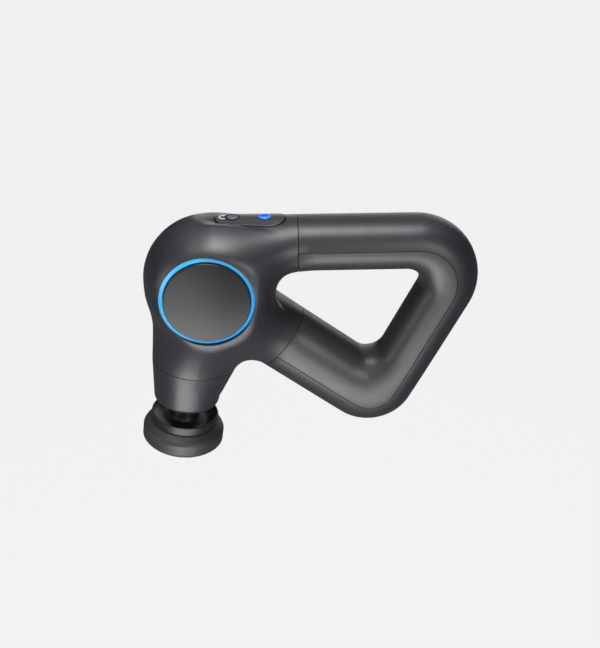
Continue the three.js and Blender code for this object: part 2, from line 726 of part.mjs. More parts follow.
piece("massage_head_base", onStroke(headBase()), softBlack);
piece("massage_head_pad", onStroke(headPad()), foam);

piece("controller_board", controllerBoard(), circuit);
piece("battery_lead", batteryLead(), rubber);
const place = (body, matrix) => body.transform(matrix.elements);
[-1, 1].forEach((side, i) => {
  piece(`battery_cell_${i + 1}`, place(cell().translate([0, 0, side * CELL_SPACE]), lowRow), cellWrap);
  piece(`battery_cell_${i + 3}`, place(cell().translate([0, side * CELL_SPACE, 0]), backRow), cellWrap);
});
piece("cell_holder_low", place(cellHolder(false), lowRow), whitePlastic);
piece("cell_holder_back", place(cellHolder(true), backRow), whitePlastic);
piece("battery_board", place(batteryBoard(), lowRow), circuit);
piece("charge_port", chargePort(), steel);
piece("port_board", portBoard(), circuit);

// The origin goes to the centre of the massage head's face.
assembly.position.copy(strokePoint(HEAD_FACE)).negate();
const massageGun = new THREE.Group();
massageGun.add(assembly);

export default massageGun;
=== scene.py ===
import json
import math

import bmesh
import bpy
import numpy as np
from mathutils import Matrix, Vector


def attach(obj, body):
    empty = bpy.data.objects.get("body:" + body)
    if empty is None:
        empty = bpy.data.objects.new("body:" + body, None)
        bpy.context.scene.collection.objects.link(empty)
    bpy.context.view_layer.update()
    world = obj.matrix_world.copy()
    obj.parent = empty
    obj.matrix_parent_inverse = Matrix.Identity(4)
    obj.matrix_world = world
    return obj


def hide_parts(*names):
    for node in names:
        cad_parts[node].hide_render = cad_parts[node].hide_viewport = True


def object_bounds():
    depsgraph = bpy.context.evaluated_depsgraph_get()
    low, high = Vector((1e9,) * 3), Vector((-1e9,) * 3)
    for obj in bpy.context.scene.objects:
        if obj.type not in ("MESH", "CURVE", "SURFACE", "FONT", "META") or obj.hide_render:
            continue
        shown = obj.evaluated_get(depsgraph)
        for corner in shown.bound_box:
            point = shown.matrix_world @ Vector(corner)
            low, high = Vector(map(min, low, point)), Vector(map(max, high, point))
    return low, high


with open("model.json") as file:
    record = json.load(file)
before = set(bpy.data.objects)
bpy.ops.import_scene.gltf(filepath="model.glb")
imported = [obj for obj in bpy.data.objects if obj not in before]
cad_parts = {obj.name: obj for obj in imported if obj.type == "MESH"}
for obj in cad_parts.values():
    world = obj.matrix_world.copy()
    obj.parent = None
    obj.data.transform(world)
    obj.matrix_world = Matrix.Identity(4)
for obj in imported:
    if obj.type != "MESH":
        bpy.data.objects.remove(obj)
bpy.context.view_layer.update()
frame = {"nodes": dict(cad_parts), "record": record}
nodes = frame["nodes"]
mounts = {m["name"]: m for m in frame["record"]["mounts"]}

# ------------------------------------------------------------------ dimensions, millimetres
# Worked in the hub frame: origin on the axis of the side covers in the middle plane, X towards
# the handle, Y away from the gloss cover, Z up.
HUB = np.array(mounts["rear_cover_face"]["pos_m"]) * 1000
HUB[1] = 0

TILT = math.radians(7.5)
LOW_ANGLE = math.radians(36.9)
BACK_ANGLE = math.radians(63.5)
CRANK_X = -7.5
BAR_TOP = 45.4
BAR_HEIGHT = 38.0
HALF_DEPTH = 22.0
REAR_SWELL, FRONT_SWELL = 2.5, 7.5  # added to it near the hub: all round, and more in front
SECTION_POWER = 2.25  # 2 is an ellipse, more is boxier
BARREL_R = 40.4
FRONT_ROUNDING = (37.9, 10.0, 27.0)  # face, edge, shoulder
REAR_ROUNDING = (34.0, 11.6, 30.0)
FRONT_LIMIT, REAR_LIMIT = 41.5, 34.55  # the shell stays just below the faces of both covers
TOP_SEAM_X = 64.0
LOW_SEAM = 71.7
HANDLE_SEAM = 17.5
NOSE_SEAM = 69.5
NOSE_END = 103.0
OPENING_R = 33.7
REAR_R = 32.0
GROOVE = 0.36  # half of the dark line between two mouldings
PANEL = (6.0, 55.5, 11.0)  # x0, x1, half width
PANEL_TOP = 46.8
PANEL_DROP = 2.9  # how far its long edges lie below its middle
POWER_X, MODE_X, STATUS_X = 18.5, 41.0, 12.0
SCREW_X, SCREW_HOLE_R = (84.0, 132.0), 3.3
REAR_SCREW = (28.6, 2.6)  # radius they stand at, radius of their counterbores


# ------------------------------------------------------------------ flat outlines
def line(x, z, angle):
    return np.array([x, z], float), np.array([math.cos(angle), math.sin(angle)])


def crossing(a, b):
    (p, d), (q, e) = a, b
    t = ((q[0] - p[0]) * e[1] - (q[1] - p[1]) * e[0]) / (d[0] * e[1] - d[1] * e[0])
    return tuple(p + d * t)


top_edge = line(0, BAR_TOP, 0)
top_inner = line(0, BAR_TOP - BAR_HEIGHT, 0)
back_edge = line(172.4, -55, BACK_ANGLE)
back_inner = line(136.8, -37.2, BACK_ANGLE)
low_edge = line(63.7, -88.8, -LOW_ANGLE)
low_inner = line(94.1, -48, -LOW_ANGLE)
nose_right = line(7.1, -94.5, math.radians(66.3))

OUTLINE = [
    (-42.5, BAR_TOP, 40.0),
    (*crossing(top_edge, back_edge), 45.5),
    (*crossing(back_edge, low_edge), 35.6),
    (*crossing(low_edge, nose_right), 14.5),
    (3.4, -99.0, 14.0),
    (-36.0, -96.0, 14.0),
    (-35.5, -38.0, 60.0),
    (-42.0, -10.0, 40.0),
]
HOLE = [
    (*crossing(top_inner, low_inner), 12.5),
    (*crossing(low_inner, back_inner), 12.0),
    (*crossing(back_inner, top_inner), 11.0),
]


def rounded(corners):
    """The straight sides and the arcs of an outline, and the outline as one fine polygon."""
    arcs, ends, polygon = [], [], []
    flat = np.array([corner[:2] for corner in corners])
    area = np.cross(flat, np.roll(flat, -1, 0)).sum()
    for i, (x, z, r) in enumerate(corners):
        here = np.array([x, z], float)
        back = np.array(corners[i - 1][:2]) - here
        on = np.array(corners[(i + 1) % len(corners)][:2]) - here
        back /= np.linalg.norm(back)
        on /= np.linalg.norm(on)
        half = math.acos(back @ on) / 2
        middle = (back + on) / np.linalg.norm(back + on)
        centre = here + middle * r / math.sin(half)
        start, end = here + back * r / math.tan(half), here + on * r / math.tan(half)
        convex = (back[0] * on[1] - back[1] * on[0]) * area < 0
        arcs.append((centre, r, -middle, math.pi / 2 - half, convex))
        ends.append((start, end))
        a0 = math.atan2(*(start - centre)[::-1])
        turn = (math.atan2(*(end - centre)[::-1]) - a0 + math.pi) % (2 * math.pi) - math.pi
        for a in np.linspace(a0, a0 + turn, 24):
            polygon.append(centre + r * np.array([math.cos(a), math.sin(a)]))
    sides = [(ends[i][1], ends[(i + 1) % len(ends)][0]) for i in range(len(ends))]
    return sides, arcs, np.array(polygon)


def depth_inside(outline, x, z):
    """Distance to the outline, positive inside it."""
    sides, arcs, polygon = outline
    d = np.full(x.shape, 1e9)
    for a, b in sides:
        e = b - a
        t = np.clip(((x - a[0]) * e[0] + (z - a[1]) * e[1]) / (e @ e), 0, 1)
        d = np.minimum(d, np.hypot(x - a[0] - t * e[0], z - a[1] - t * e[1]))
    inside = np.zeros(x.shape, bool)
    for (x0, z0), (x1, z1) in zip(np.roll(polygon, 1, 0), polygon):
        if z0 != z1:
            inside ^= ((z0 > z) != (z1 > z)) & (x < (x1 - x0) * (z - z0) / (z1 - z0) + x0)
    for centre, r, way, spread, convex in arcs:
        vx, vz = x - centre[0], z - centre[1]
        away = np.hypot(vx, vz)
        nearest = (vx * way[0] + vz * way[1] >= away * math.cos(spread)) & (np.abs(away - r) < d)
        d = np.where(nearest, np.abs(away - r), d)
        inside = np.where(nearest, (away < r) == convex, inside)
    return np.where(inside, d, -d)


outline, hole = rounded(OUTLINE), rounded(HOLE)


# ------------------------------------------------------------------ the body as a field
def ellipse_distance(u, v, a, b):
    k = np.hypot(u, v) + 1e-9
    return k * (k - 1) / (np.hypot(u / a, v / b) + 1e-9)


def smooth_step(v, lo, hi):
    t = np.clip((v - lo) / (hi - lo), 0, 1)
    return t * t * (3 - 2 * t)


def frontness(y):
    """1 on the gloss cover's side, 0 on the plain cover's side."""
    return smooth_step(-y, -9, 9)


def slab(x, y, z, from_edge, from_hole):
    """The handle's bars and the web of the head: an oval section between two outlines, deeper
    towards the hub."""
    half = np.maximum((from_edge + from_hole) / 2, 4.0)
    near_hub = 1 - smooth_step(np.hypot(x, z), 38, 80)
    half_depth = HALF_DEPTH + (REAR_SWELL + FRONT_SWELL * frontness(y)) * near_hub
    across = np.abs(from_edge - from_hole) / 2 / half
    deep = np.abs(y) / half_depth
    k = (across**SECTION_POWER + deep**SECTION_POWER) ** (1 / SECTION_POWER) + 1e-9
    d = k * (k - 1) / (np.hypot(across / half, deep / half_depth) + 1e-9)
    outside = np.maximum(-from_edge, -from_hole)
    return np.where(outside > 5, np.maximum(d, outside), d)


def barrel_side(r, y, face, edge, shoulder):
    """Half of the round head: a flat face, a wall, and an elliptic rounding between them."""
    u, v = (r - (BARREL_R - edge)) / edge, (y - (face - shoulder)) / shoulder
    round_part = ellipse_distance(np.maximum(u, 0), np.maximum(v, 0), edge, shoulder)
    past_face, past_wall = y - face, r - BARREL_R
    inner = np.where(v <= 0, np.maximum(past_face, past_wall), past_face)
    flat = np.where(u <= 0, inner, past_wall)
    return np.where((u > 0) & (v > 0), round_part, flat)


def barrel(x, y, z):
    r = np.hypot(x, z)
    return np.where(y < 0, barrel_side(r, -y, *FRONT_ROUNDING), barrel_side(r, y, *REAR_ROUNDING))


def down_stroke(x, z):
    """Distance down the stroke from the crank centre, and sideways from the stroke's axis."""
    x = x - CRANK_X
    return -x * math.sin(TILT) - z * math.cos(TILT), x * math.cos(TILT) - z * math.sin(TILT)


# Radius of the nose at each distance down the stroke, and the rounding of its lower rim.
NOSE_PROFILE = ((-25, 30.0), (20, 30.0), (45, 29.4), (NOSE_SEAM, 28.2), (NOSE_END, 24.3))
NOSE_RIM = 3.2


def nose(x, y, z):
    s, w = down_stroke(x, z)
    side = np.hypot(w, y) - np.interp(s, *zip(*NOSE_PROFILE)) + NOSE_RIM
    end = np.maximum(s - NOSE_END, -20 - s) + NOSE_RIM
    outer = np.hypot(np.maximum(side, 0), np.maximum(end, 0))
    return outer + np.minimum(np.maximum(side, end), 0) - NOSE_RIM


CROWN_FILL = 0.72


def smooth_min(a, b, k):
    h = np.maximum(k - np.abs(a - b), 0) / k
    return np.minimum(a, b) - h * h * k / 4


def body_from(x, y, z, from_edge, from_hole):
    """Signed distance to the whole body, its parts run together by wide fillets."""
    on_crown = smooth_step(-x, -8, 10)
    fill = smooth_step(np.abs(y), 3, 18) * (1 - on_crown) + CROWN_FILL * on_crown
    web = 7.0 + (8.0 + 11.0 * frontness(y)) * fill
    head = smooth_min(slab(x, y, z, from_edge, from_hole), barrel(x, y, z), web)
    s, w = down_stroke(x, z)
    neck = 8.0 + 11.0 * smooth_step(w, -22, 8)
    whole = smooth_min(head, nose(x, y, z), neck - (neck - 1.5) * smooth_step(s, 52, 110))
    whole = -smooth_min(-whole, REAR_LIMIT - y, 2.4)
    return -smooth_min(-whole, FRONT_LIMIT + y, 3.0)


def body_at(points):
    x, y, z = points.T
    return body_from(x, y, z, depth_inside(outline, x, z), -depth_inside(hole, x, z))


def slope_of(field, points, step=0.05):
    out = np.empty_like(points)
    for axis in range(3):
        e = np.zeros(3)
        e[axis] = step
        out[:, axis] = (field(points + e) - field(points - e)) / (2 * step)
    return out


def unit(vectors):
    return vectors / np.maximum(np.linalg.norm(vectors, axis=1), 1e-9)[:, None]


def onto_body(points, rounds=4):
    for _ in range(rounds):
        g = slope_of(body_at, points)
        d = body_at(points) / np.maximum((g * g).sum(1), 0.05)
        points = points - g * np.clip(d, -1, 1)[:, None]
    return points


# ------------------------------------------------------------------ its surface as triangles
def surface_net(values, low, size):
    """One vertex in each cell that the surface crosses, and one quad for each crossed edge."""
    inside = values < 0
    shape = np.array(values.shape)
    corners = [np.array([i, j, k]) for i in (0, 1) for j in (0, 1) for k in (0, 1)]

    def corner_view(c):
        return inside[tuple(slice(c[a], shape[a] - 1 + c[a]) for a in range(3))]

    count = sum(corner_view(c).astype(np.uint8) for c in corners)
    crossed = (count > 0) & (count < 8)
    cells = np.argwhere(crossed)
    index = np.full(crossed.shape, -1)
    index[crossed] = np.arange(len(cells))
    total, hits = np.zeros((len(cells), 3)), np.zeros(len(cells))
    for axis in range(3):
        step = np.eye(3, dtype=int)[axis]
        for c in corners:
            if c[axis]:
                continue
            a, b = values[tuple((cells + c).T)], values[tuple((cells + c + step).T)]
            met = (a < 0) != (b < 0)
            t = np.where(met, a / np.where(met, a - b, 1), 0)
            total[met] += (cells + c + step * t[:, None])[met]
            hits[met] += 1
    quads = []
    for axis in range(3):
        one, two = np.eye(3, dtype=int)[(axis + 1) % 3], np.eye(3, dtype=int)[(axis + 2) % 3]
        near = np.take(inside, range(shape[axis] - 1), axis)
        far = np.take(inside, range(1, shape[axis]), axis)
        e = np.argwhere(near != far)
        out = near[tuple(e.T)]
        q = np.stack([index[tuple((e - o).T)] for o in (one + two, two, 0 * one, one)], 1)
        q[~out] = q[~out][:, ::-1]
        quads.append(q)
    return (total / hits[:, None]) * size + low, np.concatenate(quads)


def body_mesh(size):
    low, high = np.array([-50.0, -43.0, -130.0]), np.array([199.0, 40.0, 52.0])
    gx, gy, gz = (low[a] + size * np.arange(int((high[a] - low[a]) / size) + 1) for a in range(3))
    flat_x, flat_z = np.meshgrid(gx, gz, indexing="ij")
    from_edge = depth_inside(outline, flat_x, flat_z)[:, None, :]
    from_hole = -depth_inside(hole, flat_x, flat_z)[:, None, :]
    x, y, z = gx[:, None, None], gy[None, :, None], gz[None, None, :]
    values = body_from(x + 0 * z, y + 0 * (x + z), z + 0 * x, from_edge, from_hole)
    points, quads = surface_net(values, low, size)
    points = onto_body(points)
    a, b, c, d = (points[quads[:, i]] for i in range(4))
    first = np.linalg.norm(a - c, axis=1) < np.linalg.norm(b - d, axis=1)
    split_ac = np.concatenate([quads[first][:, [0, 1, 2]], quads[first][:, [0, 2, 3]]])
    split_bd = np.concatenate([quads[~first][:, [1, 2, 3]], quads[~first][:, [1, 3, 0]]])
    return points, np.concatenate([split_ac, split_bd])


# ------------------------------------------------------------------ cutting it into mouldings
def clip(points, triangles, field, reach):
    """Keeps the part of the surface where the field is positive, with its edge right on zero."""
    values = field(points)
    near = np.abs(values) < reach
    g = slope_of(field, points[near])
    points = points.copy()
    points[near] -= g * (values[near] / np.maximum((g * g).sum(1), 0.2))[:, None]
    points[near] = onto_body(points[near], 1)
    values[near] = 0
    v = values[triangles]
    keep = (v >= 0).all(1) & (v > 0).any(1)
    mixed = (v > 0).any(1) & (v < 0).any(1)
    made, made_of, index = [], [], {}

    def between(a, b):
        key = (min(a, b), max(a, b))
        if key not in index:
            index[key] = len(points) + len(made_of)
            made_of.append(key)
        return index[key]

    for tri in triangles[mixed]:
        kept = []
        for a, b in zip(tri, np.roll(tri, -1)):
            if values[a] >= 0:
                kept.append(a)
            if values[a] * values[b] < 0:
                kept.append(between(a, b))
        made += [(kept[0], kept[i], kept[i + 1]) for i in range(1, len(kept) - 1)]
    if made_of:
        a, b = np.array(made_of).T
        t = (values[a] / (values[a] - values[b]))[:, None]
        points = np.concatenate([points, onto_body(points[a] * (1 - t) + points[b] * t, 2)])
    whole = triangles[keep]
    return points, np.concatenate([whole, np.array(made, int).reshape(-1, 3)]).astype(int)


def tidy_up(points, triangles):
    used, new = np.unique(triangles, return_inverse=True)
    return points[used], new.reshape(-1, 3)


def open_edges(triangles):
    edges = np.concatenate([triangles[:, [0, 1]], triangles[:, [1, 2]], triangles[:, [2, 0]]])
    span = triangles.max() + 1
    key, back = edges[:, 0] * span + edges[:, 1], edges[:, 1] * span + edges[:, 0]
    return edges[~np.isin(key, back)]


ROLL_STEPS = 4  # of each moulding's rolled edge


def moulding(name, fields, roll=0.16, depth=1.8, sink=0.0):
    """A thin moulding: the body's surface where every field is positive, with a rolled edge."""
    points, triangles = surface
    for field in fields:
        points, triangles = clip(points, triangles, field, 0.3 * CELL)
        points, triangles = tidy_up(points, triangles)
    normals = unit(slope_of(body_at, points))
    edges = open_edges(triangles)
    rim = np.unique(edges)
    place = np.full(len(points), -1)
    place[rim] = np.arange(len(rim))
    pull = np.zeros((len(rim), 3))
    for field in fields:
        at_edge = np.abs(field(points[rim])) < 0.02
        g = -slope_of(field, points[rim])
        g -= normals[rim] * (g * normals[rim]).sum(1)[:, None]
        pull[at_edge] += unit(g)[at_edge]
    pull = unit(pull)
    points = points - normals * sink
    all_points, all_normals, faces = [points], [normals], [triangles]
    n, p = normals[rim], points[rim]
    last, count = rim, len(points)
    turns = [i / ROLL_STEPS * math.pi / 2 for i in range(1, ROLL_STEPS + 1)]
    rings = [(n * math.cos(a) + pull * math.sin(a), 0.0) for a in turns] + [(pull, depth)]
    for way, sunk in rings:
        all_points.append(p + (way - n) * roll - n * sunk)
        all_normals.append(way)
        now = count + np.arange(len(rim))
        count += len(rim)
        a, b = place[edges[:, 0]], place[edges[:, 1]]
        faces += [
            np.stack([last[b], last[a], now[a]], 1),
            np.stack([last[b], now[a], now[b]], 1),
        ]
        last = now
    made = mesh_object(
        name, np.concatenate(all_points), np.concatenate(faces), np.concatenate(all_normals)
    )
    # The deep wall past the rolled edge takes the second slot: painted shadow in the seam.
    walls = sum(len(f) for f in faces[:-2])
    index = np.zeros(len(made.data.polygons), np.int32)
    index[walls:] = 1
    made.data.polygons.foreach_set("material_index", index)
    return made


SHARP_ANGLE = math.radians(38)


def mesh_object(name, points, faces, normals=None):
    """A piece from points in hub millimetres, with its own normals or sharp edges by angle."""
    mesh = bpy.data.meshes.new(name)
    verts = (np.asarray(points) + HUB) / 1000
    if isinstance(faces, np.ndarray) and faces.shape[1] == 3:
        mesh.vertices.add(len(verts))
        mesh.vertices.foreach_set("co", verts.astype(np.float32).ravel())
        mesh.loops.add(faces.size)
        mesh.loops.foreach_set("vertex_index", faces.astype(np.int32).ravel())
        mesh.polygons.add(len(faces))
        mesh.polygons.foreach_set("loop_start", np.arange(0, faces.size, 3, dtype=np.int32))
        mesh.update(calc_edges=True)
    else:
        mesh.from_pydata([tuple(v) for v in verts], [], [tuple(map(int, f)) for f in faces])
        mesh.update()
    mesh.validate()
    mesh.shade_smooth()
    if normals is not None:
        mesh.normals_split_custom_set_from_vertices([tuple(n) for n in normals])
    else:
        mesh.set_sharp_from_angle(angle=SHARP_ANGLE)
    made = bpy.data.objects.new(name, mesh)
    bpy.context.scene.collection.objects.link(made)
    return made


# ------------------------------------------------------------------ turned pieces
def filleted(corners, steps=5):
    """A profile of (r, z, fillet radius) with its corners rounded. The first and last stay."""
    out = [np.array(corners[0][:2], float)]
    for i in range(1, len(corners) - 1):
        x, z, r = corners[i]
        here = np.array([x, z], float)
        back, on = np.array(corners[i - 1][:2]) - here, np.array(corners[i + 1][:2]) - here
        lb, lo = np.linalg.norm(back), np.linalg.norm(on)
        back, on = back / lb, on / lo
        half = math.acos(np.clip(back @ on, -1, 1)) / 2
        if r <= 0 or half > math.pi / 2 - 1e-3:
            out.append(here)
            continue
        reach = min(r / math.tan(half), lb * 0.49, lo * 0.49)
        r = reach * math.tan(half)
        middle = (back + on) / np.linalg.norm(back + on)
        centre = here + middle * r / math.sin(half)
        a, b = here + back * reach - centre, here + on * reach - centre
        a0 = math.atan2(a[1], a[0])
        turn = (math.atan2(b[1], b[0]) - a0 + math.pi) % (2 * math.pi) - math.pi
        for t in np.linspace(0, 1, steps + 1):
            out.append(centre + r * np.array([math.cos(a0 + turn * t), math.sin(a0 + turn * t)]))
    out.append(np.array(corners[-1][:2], float))
    return np.array(out)


def turned(name, corners, axis, segments=128, closed=False, steps=5):
    """Turned from (r, height) about 'y' or 'up' through the hub, or about 'stroke'. Height runs
    along +Y, up, or down the stroke."""
    profile = filleted(corners, steps)
    a = np.linspace(0, 2 * math.pi, segments, endpoint=False)
    points, faces = [], []
    for r, h in profile:
        ring = np.stack([r * np.cos(a), np.full(segments, h), r * np.sin(a)], 1)
        points.append(ring)
    points = np.concatenate(points)
    if axis == "up":
        points = points[:, [0, 2, 1]]
    if axis == "stroke":
        w, s, y = points[:, 0], points[:, 1], points[:, 2]
        x = CRANK_X + w * math.cos(TILT) - s * math.sin(TILT)
        z = -w * math.sin(TILT) - s * math.cos(TILT)
        points = np.stack([x, y, z], 1)
    rows = len(profile)
    k = np.arange(segments)
    nxt = (k + 1) % segments
    for i in range(rows if closed else rows - 1):
        here, there = i * segments, (i + 1) % rows * segments
        faces += list(np.stack([here + k, here + nxt, there + nxt, there + k], 1))
    if not closed:
        faces += [list(k[::-1]), list((rows - 1) * segments + k)]
    made = mesh_object(name, points, faces)
    orient(made)
    return made


def orient(obj):
    """Joins doubled vertices, turns every face outwards and shades the piece."""
    bm = bmesh.new()
    bm.from_mesh(obj.data)
    bmesh.ops.remove_doubles(bm, verts=bm.verts, dist=1e-7)
    bmesh.ops.recalc_face_normals(bm, faces=bm.faces)
    bm.to_mesh(obj.data)
    bm.free()
    obj.data.shade_smooth()
    obj.data.set_sharp_from_angle(angle=SHARP_ANGLE)


# ------------------------------------------------------------------ materials
def material(name, color, roughness, metallic=0.0, coat=0.0, specular=0.5, mottle=0.0,
             mottle_scale=60.0, rough_var=0.0, grain=0.0, grain_scale=900.0,
             emission=None, strength=0.0):
    """Principled, with a little procedural variation of colour, roughness and surface."""
    mat = bpy.data.materials.new(name)
    mat.use_nodes = True
    tree = mat.node_tree
    bsdf = tree.nodes["Principled BSDF"]
    inputs = bsdf.inputs
    inputs["Base Color"].default_value = (*color, 1)
    inputs["Metallic"].default_value = metallic
    inputs["Roughness"].default_value = roughness
    inputs["Specular IOR Level"].default_value = specular
    inputs["Coat Weight"].default_value = coat
    inputs["Coat Roughness"].default_value = 0.1
    if emission:
        inputs["Emission Color"].default_value = (*emission, 1)
        inputs["Emission Strength"].default_value = strength
    place = tree.nodes.new("ShaderNodeTexCoord")

    def noise(scale, detail):
        node = tree.nodes.new("ShaderNodeTexNoise")
        node.inputs["Scale"].default_value = scale
        node.inputs["Detail"].default_value = detail
        tree.links.new(place.outputs["Object"], node.inputs["Vector"])
        return node.outputs["Fac"]

    def ranged(source, lo, hi):
        node = tree.nodes.new("ShaderNodeMapRange")
        node.inputs["From Min"].default_value = 0.25
        node.inputs["From Max"].default_value = 0.75
        node.inputs["To Min"].default_value = lo
        node.inputs["To Max"].default_value = hi
        tree.links.new(source, node.inputs["Value"])
        return node.outputs["Result"]

    if mottle:
        mix = tree.nodes.new("ShaderNodeMix")
        mix.data_type = "RGBA"
        mix.inputs[6].default_value = (*[c * (1 - mottle) for c in color], 1)
        mix.inputs[7].default_value = (*[min(1, c * (1 + mottle)) for c in color], 1)
        tree.links.new(ranged(noise(mottle_scale, 4), 0, 1), mix.inputs[0])
        tree.links.new(mix.outputs[2], inputs["Base Color"])
    if rough_var:
        wear = ranged(noise(mottle_scale * 2.3, 5), roughness - rough_var, roughness + rough_var)
        tree.links.new(wear, inputs["Roughness"])
    if grain:
        bump = tree.nodes.new("ShaderNodeBump")
        bump.inputs["Strength"].default_value = grain
        bump.inputs["Distance"].default_value = 0.0001
        tree.links.new(noise(grain_scale, 3), bump.inputs["Height"])
        tree.links.new(bump.outputs["Normal"], inputs["Normal"])
    return mat


graphite = material("graphite", (0.020, 0.020, 0.024), 0.40, specular=0.65, mottle=0.04,
                    rough_var=0.03, grain=0.12, grain_scale=2600)
inner_graphite = material("inner_graphite", (0.026, 0.025, 0.026), 0.42, specular=0.65,
                          mottle=0.04, rough_var=0.03, grain=0.14, grain_scale=2600)
outer_black = material("outer_black", (0.018, 0.018, 0.022), 0.42, specular=0.6, mottle=0.04,
                       rough_var=0.03, grain=0.14, grain_scale=2600)
soft_black = material("soft_black", (0.011, 0.011, 0.013), 0.42, mottle=0.05, rough_var=0.04,
                      grain=0.15, grain_scale=2200)
panel_mat = material("panel_plastic", (0.034, 0.034, 0.040), 0.38, mottle=0.04, rough_var=0.03,
                     grain=0.08, grain_scale=2600)
disc_gloss = material("disc_gloss", (0.014, 0.014, 0.016), 0.25, specular=0.27, mottle=0.03,
                      rough_var=0.015)
edge_black = material("edge_black", (0.010, 0.010, 0.012), 0.35, coat=0.3, mottle=0.03)
# Near-black for seam walls, the sheet under the seams, the vent slot and the gap round the power
# key: painted shadow where parts meet.
painted_gap_shadow = material("painted_gap_shadow", (0.004, 0.004, 0.005), 0.8, specular=0.1, mottle=0.05)
ring_glow = material("ring_glow", (0.02, 0.20, 0.45), 0.32, coat=0.4, mottle=0.04,
                     emission=(0.045, 0.36, 0.64), strength=0.62)
button_glow = material("button_glow", (0.005, 0.03, 0.25), 0.3, coat=0.3, mottle=0.05,
                       emission=(0.004, 0.060, 0.50), strength=0.8)
icon_glow_and_highlight = material("icon_glow_and_highlight", (0.05, 0.4, 0.9), 0.3, mottle=0.04,
                     emission=(0.05, 0.30, 0.90), strength=0.5)
moon_white = material("moon_white", (0.55, 0.55, 0.60), 0.35, mottle=0.05,
                      emission=(0.6, 0.6, 0.68), strength=0.25)
button_grey = material("button_grey", (0.09, 0.09, 0.10), 0.35, coat=0.2, mottle=0.05)
foam = material("foam", (0.028, 0.028, 0.032), 0.50, mottle=0.06, rough_var=0.05, grain=0.3,
                grain_scale=1500)
rubber = material("rubber", (0.012, 0.012, 0.013), 0.65, mottle=0.08, grain=0.3,
                  grain_scale=1200)
steel = material("steel", (0.55, 0.56, 0.58), 0.28, metallic=1.0, mottle=0.03, rough_var=0.06)
aluminium = material("aluminium", (0.58, 0.59, 0.61), 0.42, metallic=1.0, mottle=0.04,
                     rough_var=0.06, grain=0.15, grain_scale=800)
lamination = material("lamination", (0.09, 0.09, 0.10), 0.45, metallic=0.7, mottle=0.1,
                      rough_var=0.05)
copper = material("copper", (0.62, 0.24, 0.09), 0.35, metallic=1.0, mottle=0.12,
                  rough_var=0.05, grain=0.4, grain_scale=500)
bronze = material("bronze", (0.50, 0.32, 0.14), 0.42, metallic=1.0, mottle=0.08,
                  rough_var=0.05)
circuit = material("circuit", (0.015, 0.095, 0.045), 0.38, coat=0.3, mottle=0.12,
                   mottle_scale=180)
cell_wrap = material("cell_wrap", (0.03, 0.14, 0.38), 0.3, coat=0.3, mottle=0.05)
white_plastic = material("white_plastic", (0.62, 0.60, 0.55), 0.5, mottle=0.03, grain=0.1)


def paint_ring_highlight(mat, upper_left, lower_right, reach=46):
    """Paints highlight and shade into the ring's own glow, brighter at its upper left and darker at
    its lower right. reach is in millimetres from the hub along both axes together."""
    tree = mat.node_tree
    place, part, span = (
        tree.nodes.new("ShaderNode" + kind) for kind in ("TexCoord", "SeparateXYZ", "Math"))
    span.operation = "SUBTRACT"
    tree.links.new(place.outputs["Object"], part.inputs[0])
    tree.links.new(part.outputs["X"], span.inputs[0])
    tree.links.new(part.outputs["Z"], span.inputs[1])
    across, glow = tree.nodes.new("ShaderNodeMapRange"), tree.nodes.new("ShaderNodeMix")
    across.inputs["From Min"].default_value = (HUB[0] - HUB[2] - reach) / 1000
    across.inputs["From Max"].default_value = (HUB[0] - HUB[2] + reach) / 1000
    tree.links.new(span.outputs[0], across.inputs["Value"])
    glow.data_type = "RGBA"
    glow.inputs[6].default_value = (*upper_left, 1)
    glow.inputs[7].default_value = (*lower_right, 1)
    tree.links.new(across.outputs["Result"], glow.inputs[0])
    tree.links.new(glow.outputs[2], tree.nodes["Principled BSDF"].inputs["Emission Color"])


# The ring glows, and over that is a painted highlight at its upper left and painted shade at its
# lower right.
paint_ring_highlight(ring_glow, (0.07, 0.50, 0.78), (0.02, 0.24, 0.60))

SLOT_LOOKS = {
    "graphite": graphite, "soft_black": soft_black, "gloss_black": edge_black,
    "blue_light": ring_glow, "white_light": moon_white, "foam": foam, "steel": steel,
    "aluminium": aluminium, "lamination": lamination, "copper": copper, "bronze": bronze,
    "rubber": rubber, "circuit": circuit, "cell_wrap": cell_wrap, "white_plastic": white_plastic,
}
slot_of = {p["node"]: p["material_slot"] for p in frame["record"]["subparts"]}
for node_name, node in nodes.items():
    node.data.materials.clear()
    node.data.materials.append(SLOT_LOOKS[slot_of[node_name]])


def dress(obj, look, body, *replaced, slot=None):
    """Gives a piece its look, black walls and body, and the CAD nodes it stands for. slot is not
    used.
    """
    obj.data.materials.clear()
    obj.data.materials.append(look)
    # The second slot, for the walls of a moulding, is near-black: painted shadow in the seams.
    obj.data.materials.append(painted_gap_shadow)
    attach(obj, body)
    if replaced:
        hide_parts(*replaced)
    return obj


# ------------------------------------------------------------------ where the mouldings part
# Each takes points and gives millimetres past a seam or outside a hole, FAR where it isn't near.
FAR = 50.0
SHAFT_OPENING_R = 15.5
SEAM_SHADOW_HALF_WIDTH = 2.5


def past_handle_seam(p):
    """The bars part from the head square to their length: one seam above z = -7, one below."""
    x, z = p[:, 0], p[:, 2]
    low = x * math.cos(LOW_ANGLE) - z * math.sin(LOW_ANGLE) - LOW_SEAM
    return np.where(z > -7, x - TOP_SEAM_X, low)


def past_nose_seam(p):
    return np.where(p[:, 0] < 30, down_stroke(p[:, 0], p[:, 2])[0] - NOSE_SEAM, -FAR)


def from_stroke_axis(p):
    sideways = down_stroke(p[:, 0], p[:, 2])[1]
    return np.hypot(sideways, p[:, 1])


def edge_depth(p):
    return depth_inside(outline, p[:, 0], p[:, 2])


def outside_panel(p):
    x0, x1, half = PANEL
    x, y, z = p.T
    d = np.hypot(x - np.clip(x, x0 + half, x1 - half), y) - half
    return np.where(z > 20, d, FAR)


